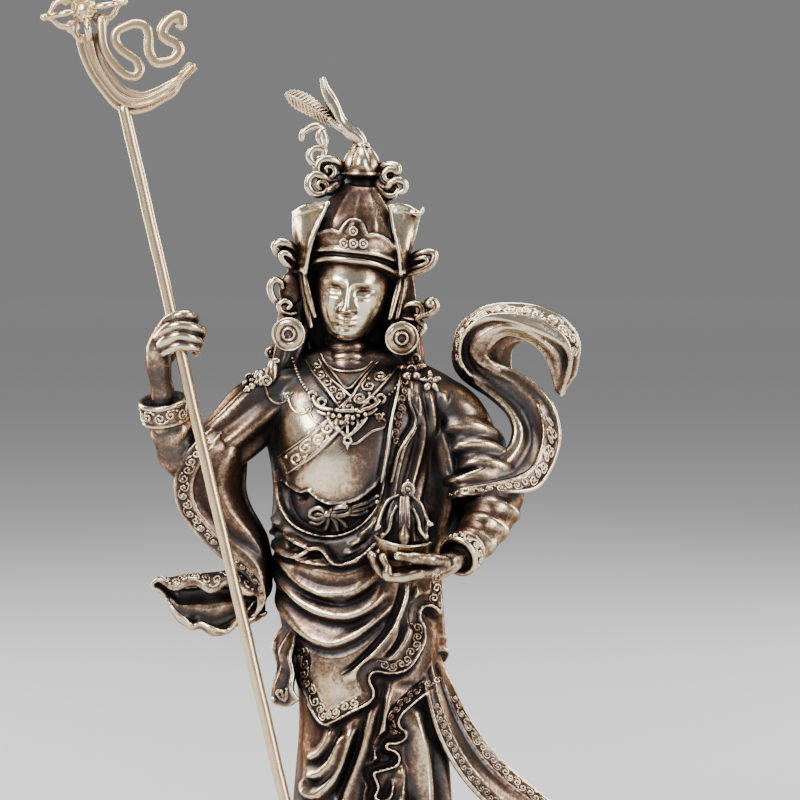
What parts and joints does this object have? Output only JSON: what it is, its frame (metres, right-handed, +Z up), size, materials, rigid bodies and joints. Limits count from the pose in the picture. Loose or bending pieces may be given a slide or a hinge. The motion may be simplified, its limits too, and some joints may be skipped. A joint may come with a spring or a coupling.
{
  "type": "guru rinpoche statue",
  "caption": "Cast metal standing figure in flowing robes and a tall lotus hat, with a long staff and a skull cup, on an oval lotus base.",
  "frame": {"origin": "middle of the base's flat underside", "axes": "+Z up from the underside to the staff's tip, the figure faces -Y, +X to the viewer's right"},
  "size_m": [0.1046, 0.0489, 0.2268],
  "materials": {
    "figure_metal": "cast silvery bronze with brown patina in the folds and rubbed pale edges",
    "staff_metal": "pale worn metal, satin",
    "cup_metal": "cast pale metal with dark recesses",
    "base_metal": "cast silvery bronze with brown patina"
  },
  "bodies": {
    "root": {"figure": "figure_metal", "staff": "staff_metal", "skull_cup": "cup_metal", "lotus_base": "base_metal"}
  },
  "joints": []
}
